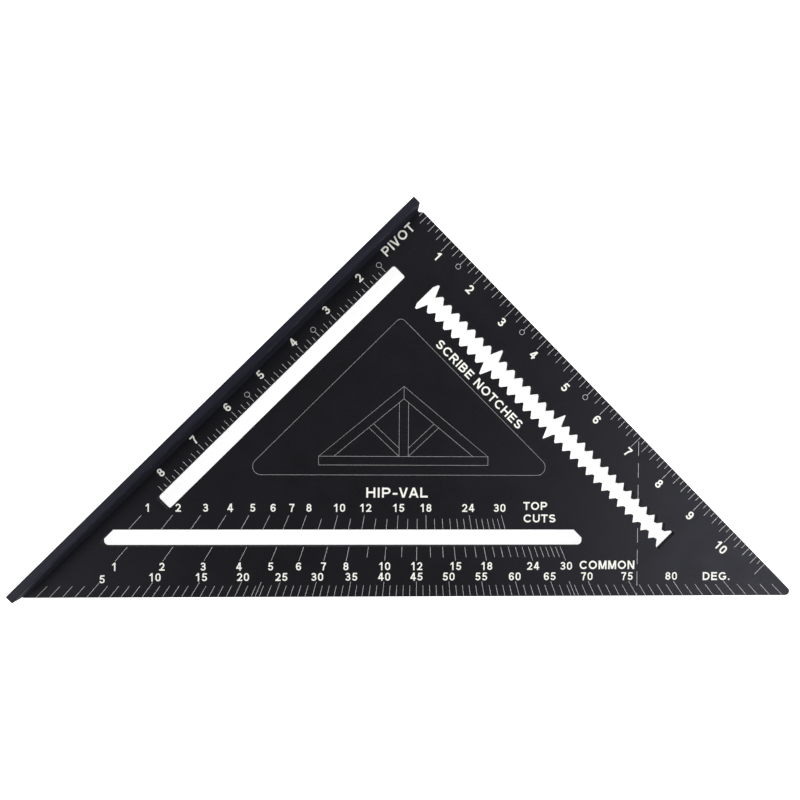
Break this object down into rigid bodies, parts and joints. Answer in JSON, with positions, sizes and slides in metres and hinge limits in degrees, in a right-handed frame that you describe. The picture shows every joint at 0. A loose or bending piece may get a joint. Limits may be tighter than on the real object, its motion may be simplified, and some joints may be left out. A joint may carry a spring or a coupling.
{
  "type": "speed square",
  "caption": "Right-angled triangular rafter square: slotted plate with ruler, protractor and rafter scales, a notched scribing slot and a T-shaped fence along one leg.",
  "frame": {"origin": "bottom centre of the bounding box: under the middle of the triangle's square box, level with the fence's lower edge", "axes": "+X along the fence, away from the pivot corner; +Y along the ruler edge, away from the fence; +Z out of the marked face. The blade is level, and the pivot corner is at low X and low Y."},
  "size_m": [0.3048, 0.3064, 0.0238],
  "materials": {
    "blade_anodised": "fine matte black anodised",
    "fence_anodised": "satin blue-black anodised, brushed along its length",
    "scale_marks": "warm white printed marks"
  },
  "bodies": {
    "root": {"blade": "blade_anodised", "fence": "fence_anodised"}
  },
  "joints": []
}
